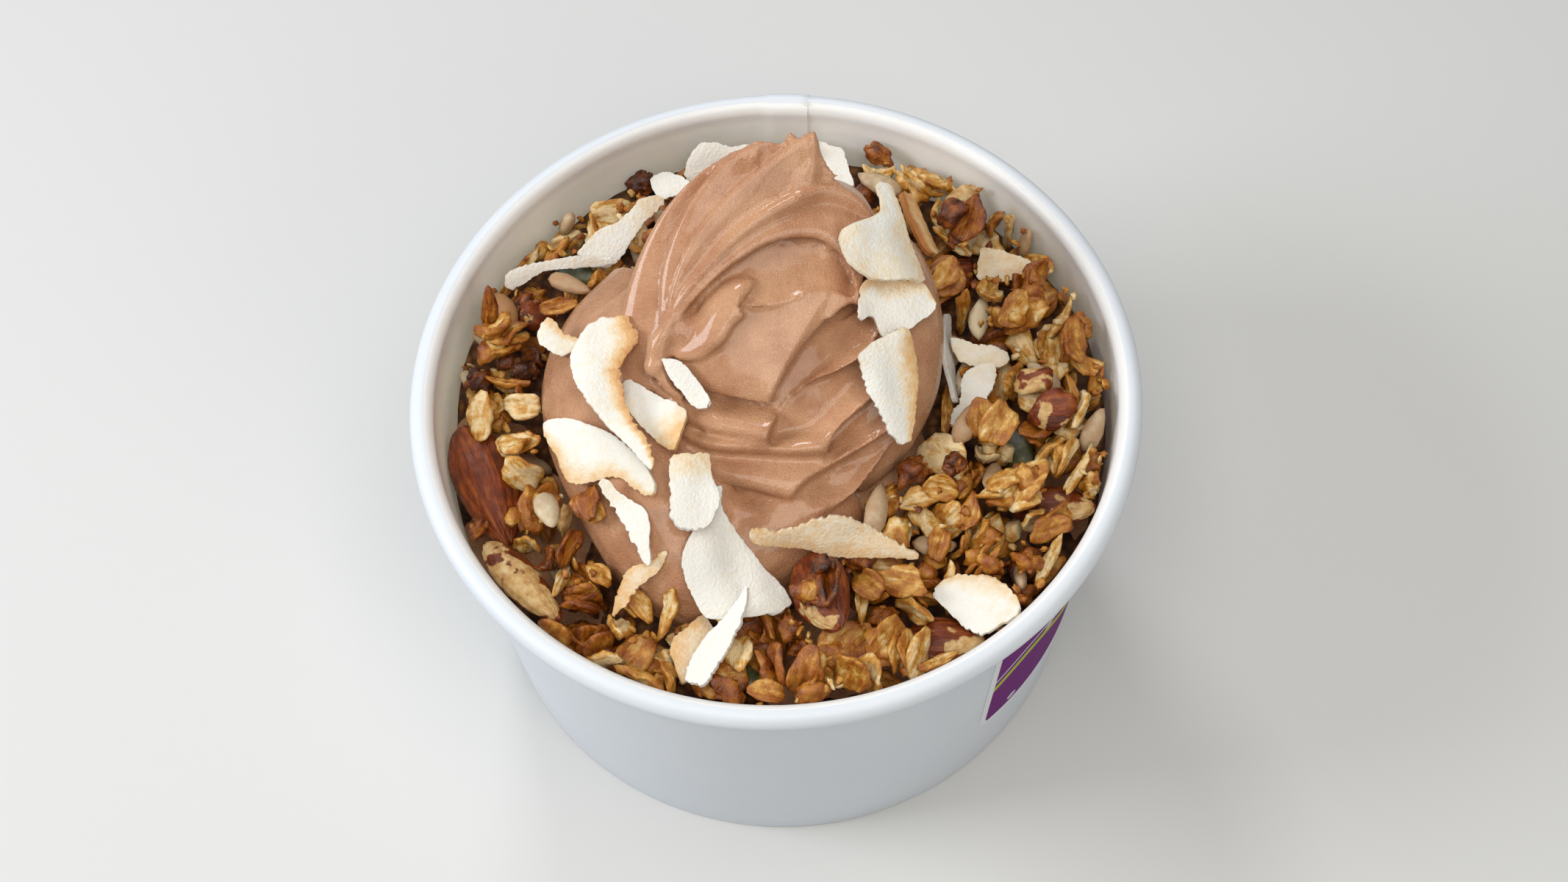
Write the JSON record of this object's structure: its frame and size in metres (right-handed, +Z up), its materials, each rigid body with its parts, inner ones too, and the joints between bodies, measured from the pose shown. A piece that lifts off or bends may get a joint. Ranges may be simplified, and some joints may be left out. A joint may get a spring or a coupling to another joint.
{
  "type": "frozen yogurt cup",
  "caption": "Paper tub of chocolate frozen yogurt piled in a soft swirl, ringed with granola and topped with coconut chips, almonds and pumpkin seeds.",
  "frame": {"origin": "on the tub's axis, in the plane of its foot ring", "axes": "+Z up out of the tub; -Y towards the eater, where the pleats of the swirl show; +X to the eater's right"},
  "size_m": [0.115, 0.115, 0.0914],
  "materials": {
    "paper": "coated white paper",
    "print": "printed sticker",
    "yogurt": "soft frozen cream",
    "granola": "rough baked oats",
    "coconut": "dry grainy coconut",
    "almond": "wrinkled almond skin",
    "pumpkin_seed": "smooth seed"
  },
  "bodies": {
    "root": {"almond_01": "almond", "almond_02": "almond", "almond_03": "almond", "almond_04": "almond", "almond_05": "almond", "coconut_chip_01": "coconut", "coconut_chip_02": "coconut", "coconut_chip_03": "coconut", "coconut_chip_04": "coconut", "coconut_chip_05": "coconut", "coconut_chip_06": "coconut", "coconut_chip_07": "coconut", "coconut_chip_08": "coconut", "coconut_chip_09": "coconut", "coconut_chip_10": "coconut", "coconut_chip_11": "coconut", "coconut_chip_12": "coconut", "coconut_chip_13": "coconut", "coconut_chip_14": "coconut", "coconut_chip_15": "coconut", "coconut_chip_16": "coconut", "coconut_chip_17": "coconut", "coconut_chip_18": "coconut", "coconut_chip_19": "coconut", "coconut_chip_20": "coconut", "coconut_chip_21": "coconut", "coconut_chip_22": "coconut", "coconut_chip_23": "coconut", "coconut_chip_24": "coconut", "coconut_chip_25": "coconut", "coconut_chip_26": "coconut", "cup_bottom": "paper", "cup_side": "paper", "granola": "granola", "granola_cluster_01": "granola", "granola_cluster_02": "granola", "granola_cluster_03": "granola", "granola_cluster_04": "granola", "granola_cluster_05": "granola", "granola_cluster_06": "granola", "granola_cluster_07": "granola", "granola_cluster_08": "granola", "label": "print", "pumpkin_seed_01": "pumpkin_seed", "pumpkin_seed_02": "pumpkin_seed", "pumpkin_seed_03": "pumpkin_seed", "yogurt": "yogurt"}
  },
  "joints": []
}
